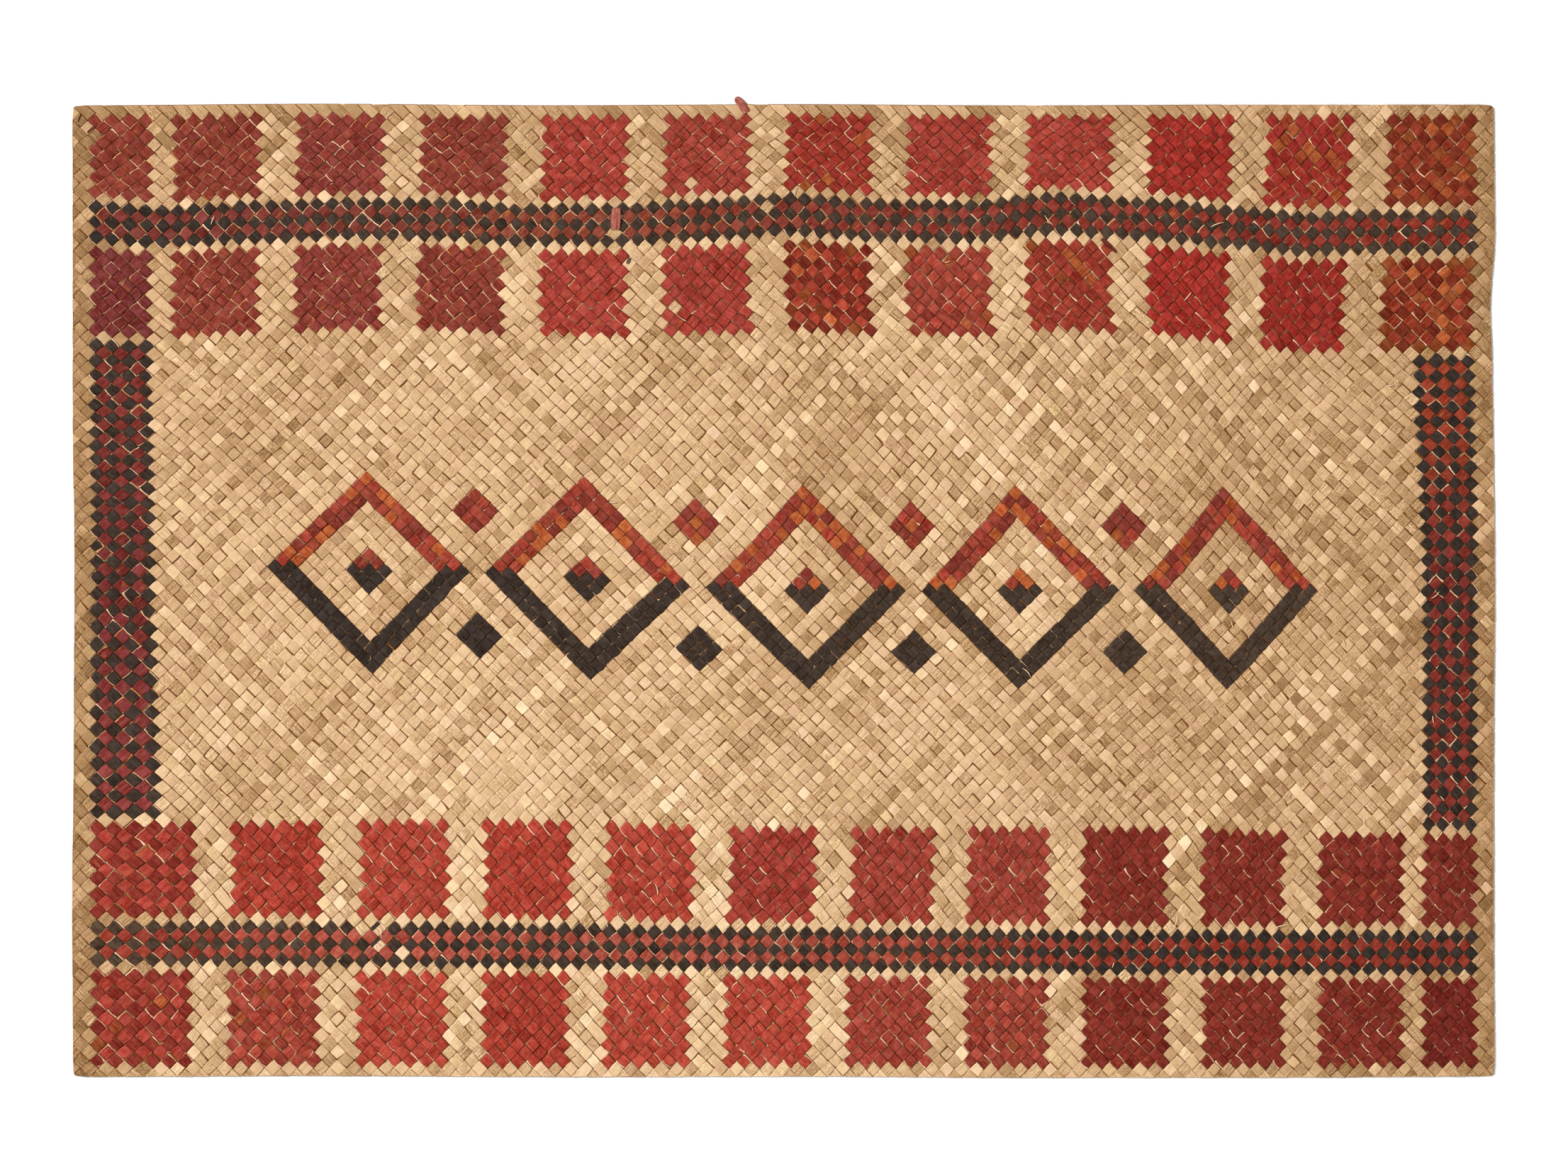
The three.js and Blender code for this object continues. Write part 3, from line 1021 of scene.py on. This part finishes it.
def ribbon_piece(name, ribbons, material):
    """One mesh object from all the ribbons, riding on the mat."""
    faces, shifts = ribbon_faces(ribbons)
    points = ribbons["points"].reshape(-1, 3)
    mesh = bpy.data.meshes.new(name)
    mesh.vertices.add(len(points))
    mesh.vertices.foreach_set("co", points.astype(np.float32).ravel())
    mesh.loops.add(faces.size)
    mesh.loops.foreach_set("vertex_index", faces.astype(np.int32).ravel())
    mesh.polygons.add(len(faces))
    mesh.polygons.foreach_set("loop_start", np.arange(0, faces.size, 4, dtype=np.int32))
    mesh.update(calc_edges=True)
    set_attribute(mesh, "tint", "FLOAT_COLOR", "color", ribbons["tint"])
    set_attribute(mesh, "strip", "FLOAT_VECTOR", "vector", ribbons["strip"])
    # Carries the dirt and the painted crevice shade of each point
    set_attribute(mesh, "dirt_and_shade", "FLOAT", "value", ribbons["dirt_and_shade"])
    mark_sharp(mesh, ribbons["crisp"])
    row, along, rows = bake_places(ribbons["sizes"])
    across = (row[:, None] + BAKE_ACROSS).ravel() / rows
    along = np.repeat(along, 4)
    uv = np.stack([(along[faces] + shifts) / BAKE_ROW, across[faces]], axis=-1)
    mesh.uv_layers.new(name="OFBake").uv.foreach_set("vector", uv.astype(np.float32).ravel())
    mesh.materials.append(material)
    piece = new_object(name, mesh)
    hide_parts("mat")
    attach(piece, "root")
    return piece


def new_object(name, data):
    made = bpy.data.objects.new(name, data)
    bpy.context.scene.collection.objects.link(made)
    return made


def set_attribute(mesh, name, kind, field, values):
    attribute = mesh.attributes.new(name, kind, "POINT")
    attribute.data.foreach_set(field, np.ascontiguousarray(values, dtype=np.float32).ravel())


def mark_sharp(mesh, crisp):
    """Keeps the long edges of the ribbons crisp, and the sections that are marked so."""
    ends = np.zeros(len(mesh.edges) * 2, dtype=np.int32)
    mesh.edges.foreach_get("vertices", ends)
    first, second = ends.reshape(-1, 2).T
    same_side = first % 4 == second % 4
    across = (first // 4 == second // 4) & crisp[first // 4]
    sharp = mesh.attributes.new("sharp_edge", "BOOLEAN", "EDGE")
    sharp.data.foreach_set("value", same_side | across)


# Materials: dry leaf. A stretch is in grains to the metre along and across a strip, and then for
# the strip's number
NOISES = {
    "veins": {"stretch": (60, 1400, 1), "detail": 3.0, "roughness": 0.62},
    "mottle": {"stretch": (220, 330, 1.7)},
    "freckles": {"stretch": (1000, 1400, 2.9), "detail": 3.0, "roughness": 0.7},
    "specks": {"stretch": (650, 1500, 2.3), "detail": 1.0},
    "patches": {"stretch": (60, 300, 3.1), "detail": 3.0, "roughness": 0.7},
}
VEIN_RANGE = (0.36, 0.64)
BROAD_RANGE = (0.3, 0.7)
DIRT_AND_SHADE_RANGE = (0.25, 0.95)
SPOT_EDGES = {"worn": 0.12, "speck": 0.08}
ROUGH_SPAN = (-0.08, 0.1)
PALER = 0.4
BUMP_DEPTH = 0.15 * MM
VECTOR_MATHS = "ShaderNodeVectorMath"

# How the natural, the red and the black strips look
LOOKS = {
    "vein": (0.3, 0.3, 0.35),
    "mottle": (0.06, 0.15, 0.2),
    "freckle": (0.34, 0.25, 0.3),
    "wrinkle": (0.8, 3.2, 1.6),
    "fade": ((1, 1.28, 1.7), (1, 2.0, 2.4), (1, 1.2, 1.4)),
    "worn": ((0.93, 0.68, 0.42, 1), (0.46, 0.125, 0.035, 1), (0.11, 0.08, 0.055, 1)),
    "worn_from": (0.62, 0.6, 0.62),
    "worn_share": (0.3, 0.6, 0.6),
    "speck": ((0.24, 0.11, 0.035, 1), (0.07, 0.012, 0.01, 1), (0.012, 0.01, 0.009, 1)),
    "speck_from": (0.6, 0.62, 0.6),
    "speck_share": (0.65, 0.7, 0.6),
    # The colours and shares of the dirt and painted shade between strips
    "dirt_and_shade": ((0.19, 0.062, 0.009, 1), (0.09, 0.009, 0.003, 1), (0.035, 0.014, 0.006, 1)),
    "dirt_and_shade_share": (0.95, 0.74, 0.9),
    "bump": (0.5, 0.8, 0.5),
    "rough": (0.7, 0.65, 0.65),
    "shine": (0.04, 0.02, 0.03),
}


def node(tree, kind, inputs=None, **settings):
    made = tree.nodes.new(kind)
    for key, value in settings.items():
        setattr(made, key, value)
    for key, value in (inputs or {}).items():
        if isinstance(value, bpy.types.NodeSocket):
            tree.links.new(value, made.inputs[key])
        else:
            made.inputs[key].default_value = value
    return made


def carried(tree, name):
    return node(tree, "ShaderNodeAttribute", attribute_name=name).outputs


def maths(tree, operation, first, second, kind="ShaderNodeMath"):
    return node(tree, kind, {0: first, 1: second}, operation=operation).outputs[0]


def mixed_colour(tree, share, first, second):
    made = node(tree, "ShaderNodeMix", {0: share, 6: first, 7: second}, data_type="RGBA")
    return made.outputs[2]


def noise(tree, vector, stretch, detail=2.0, roughness=0.55):
    """Noise from 0 to 1 over strip coordinates."""
    scaled = maths(tree, "MULTIPLY", vector, stretch, VECTOR_MATHS)
    inputs = {"Vector": scaled, "Scale": 1.0, "Detail": detail, "Roughness": roughness}
    return node(tree, "ShaderNodeTexNoise", inputs).outputs[0]


def ranged(tree, value, source, target):
    """A value eased from one range to another."""
    inputs = {"Value": value, "From Min": source[0], "From Max": source[1]}
    inputs |= {"To Min": target[0], "To Max": target[1]}
    made = node(tree, "ShaderNodeMapRange", inputs, interpolation_type="SMOOTHSTEP")
    return made.outputs[0]


def spots(tree, value, look, kind):
    """How much of a spot's colour shows, from where its noise passes a mark."""
    start = look[kind + "_from"]
    return ranged(tree, value, (start, start + SPOT_EDGES[kind]), (0, look[kind + "_share"]))


def leaf_lightness(tree, look, noises, grain):
    """How much paler or darker a strip is here and there, by veins, freckles and mottling."""
    vein, freckle, mottle = look["vein"], look["freckle"], look["mottle"]
    depth = ranged(tree, noises["veins"], VEIN_RANGE, (-vein, PALER * vein))
    freckles = ranged(tree, noises["freckles"], BROAD_RANGE, (-freckle, PALER * freckle))
    depth = maths(tree, "MULTIPLY", maths(tree, "ADD", depth, freckles), grain)
    depth = maths(tree, "ADD", depth, ranged(tree, noises["mottle"], BROAD_RANGE, (-mottle, mottle)))
    return maths(tree, "ADD", depth, 1.0)


def leaf_colour(tree, look, noises):
    """The tint of each strip with its grain, worn patches, specks, and edges darkened by dirt and
    painted shade.
    """
    tint = carried(tree, "tint")
    grain = tint["Alpha"]
    light = leaf_lightness(tree, look, noises, grain)
    faded = maths(tree, "POWER", light, look["fade"], VECTOR_MATHS)
    colour = maths(tree, "MULTIPLY", tint["Color"], faded, VECTOR_MATHS)
    worn = spots(tree, noises["patches"], look, "worn")
    colour = mixed_colour(tree, worn, colour, look["worn"])
    speck = maths(tree, "MULTIPLY", spots(tree, noises["specks"], look, "speck"), grain)
    colour = mixed_colour(tree, speck, colour, look["speck"])
    # Mixes in dirt and painted crevice shade where the strips carry it
    dirt_and_shade = ranged(tree, carried(tree, "dirt_and_shade")["Fac"], DIRT_AND_SHADE_RANGE, (0, look["dirt_and_shade_share"]))
    return mixed_colour(tree, dirt_and_shade, colour, look["dirt_and_shade"])


def leaf_material(name, kind):
    """Strips of dry leaf, wrinkled and veined along each strip."""
    look = {key: values[kind] for key, values in LOOKS.items()}
    material = bpy.data.materials.new(name)
    material.use_nodes = True
    tree = material.node_tree
    tree.nodes.clear()
    strip = carried(tree, "strip")["Vector"]
    noises = {key: noise(tree, strip, **settings) for key, settings in NOISES.items()}
    wrinkles = maths(tree, "MULTIPLY", noises["mottle"], look["wrinkle"])
    height = maths(tree, "ADD", noises["veins"], wrinkles)
    bump = {"Strength": look["bump"], "Distance": BUMP_DEPTH, "Height": height}
    rough_span = [look["rough"] + more for more in ROUGH_SPAN]
    inputs = {
        "Base Color": leaf_colour(tree, look, noises),
        "Roughness": ranged(tree, noises["veins"], BROAD_RANGE, rough_span),
        "Specular IOR Level": look["shine"],
        "Normal": node(tree, "ShaderNodeBump", bump).outputs[0],
    }
    shader = node(tree, "ShaderNodeBsdfPrincipled", inputs)
    node(tree, "ShaderNodeOutputMaterial", {"Surface": shader.outputs[0]})
    return material


def build_mat():
    natural = leaf_material("natural_leaf", PLAIN)
    red = leaf_material("red_leaf", RED)
    black = leaf_material("black_leaf", BLACK)
    fall_lines = np.arange(1 - COLUMNS, ROWS, 2)
    rise_lines = np.arange(1, ROWS + COLUMNS, 2)
    middle = len(fall_lines) // 2
    halves = {
        "fall_strips_right": (FALL, fall_lines[:middle]),
        "fall_strips_left": (FALL, fall_lines[middle:]),
        "rise_strips_left": (RISE, rise_lines[:middle]),
        "rise_strips_right": (RISE, rise_lines[middle:]),
    }
    sheets = [
        ribbon_piece(name, woven_strips(family, lines), natural)
        for name, (family, lines) in halves.items()
    ]
    laid = [
        ribbon_piece("red_overlay", overlay_strips(RED), red),
        ribbon_piece("black_overlay", overlay_strips(BLACK), black),
        ribbon_piece("long_bars", long_bars(), natural),
        ribbon_piece("loose_ends", loose_ends(), red),
        ribbon_piece("fibres_marks_and_painted_shadow", fibres_marks_and_painted_shadow(), natural),
    ]


# The studio: a pale floor, soft light from the left, and a camera straight above
FLOOR_SIZE = 40
FLOOR_COLOURS = [(0.95, 0.95, 0.945, 1), (0.98, 0.98, 0.975, 1)]
FLOOR_GRAIN = {"Scale": 40.0, "Detail": 3.0}
FLOOR_ROUGHNESS = 0.9
CAMERA_HEIGHT = 3
VIEW_WIDTH = 1.0056
VIEW_CENTRE = (0.23 * MM, -0.88 * MM)
SENSOR = 36

# The shade is warm, and the lamps are as much cooler, so that the floor stays white
SHADE_COLOUR = (1, 0.84, 0.6, 1)
SHADE_STRENGTH = 0.3
LAMP_COLOUR = (0.874, 0.925, 1)
LAMP_SIZE = 2.0
LAMPS = {"key": ((-5.6, 3.0, 4.6), 785), "fill": ((2.6, -1.4, 2.6), 46)}


def make_floor():
    half = FLOOR_SIZE / 2
    mesh = bpy.data.meshes.new("floor")
    corners = [(-half, -half, 0), (half, -half, 0), (half, half, 0), (-half, half, 0)]
    mesh.from_pydata(corners, [], [(0, 1, 2, 3)])
    material = bpy.data.materials.new("pale_floor")
    material.use_nodes = True
    tree = material.node_tree
    shader = tree.nodes["Principled BSDF"]
    grain = node(tree, "ShaderNodeTexNoise", FLOOR_GRAIN)
    colour = mixed_colour(tree, grain.outputs[0], *FLOOR_COLOURS)
    tree.links.new(colour, shader.inputs["Base Color"])
    shader.inputs["Roughness"].default_value = FLOOR_ROUGHNESS
    mesh.materials.append(material)
    new_object("floor", mesh)


def make_light(name, location, power):
    data = bpy.data.lights.new(name, "AREA")
    data.color = LAMP_COLOUR
    data.size = LAMP_SIZE
    data.energy = power
    light = new_object(name, data)
    light.location = location
    light.rotation_mode = "QUATERNION"
    light.rotation_quaternion = light.location.to_track_quat("Z", "Y")


def make_world():
    world = bpy.data.worlds.new("studio")
    world.use_nodes = True
    background = world.node_tree.nodes["Background"]
    background.inputs["Color"].default_value = SHADE_COLOUR
    background.inputs["Strength"].default_value = SHADE_STRENGTH
    bpy.context.scene.world = world
    bpy.context.scene.view_settings.view_transform = "Standard"


def make_camera():
    data = bpy.data.cameras.new("camera")
    data.sensor_width = SENSOR
    data.lens = SENSOR * CAMERA_HEIGHT / VIEW_WIDTH
    camera = new_object("camera", data)
    camera.location = (*VIEW_CENTRE, CAMERA_HEIGHT)
    bpy.context.scene.camera = camera


def make_studio():
    make_floor()
    for name, (location, power) in LAMPS.items():
        make_light(name, location, power)
    make_world()
    make_camera()


build_mat()
make_studio()
bpy.context.view_layer.update()
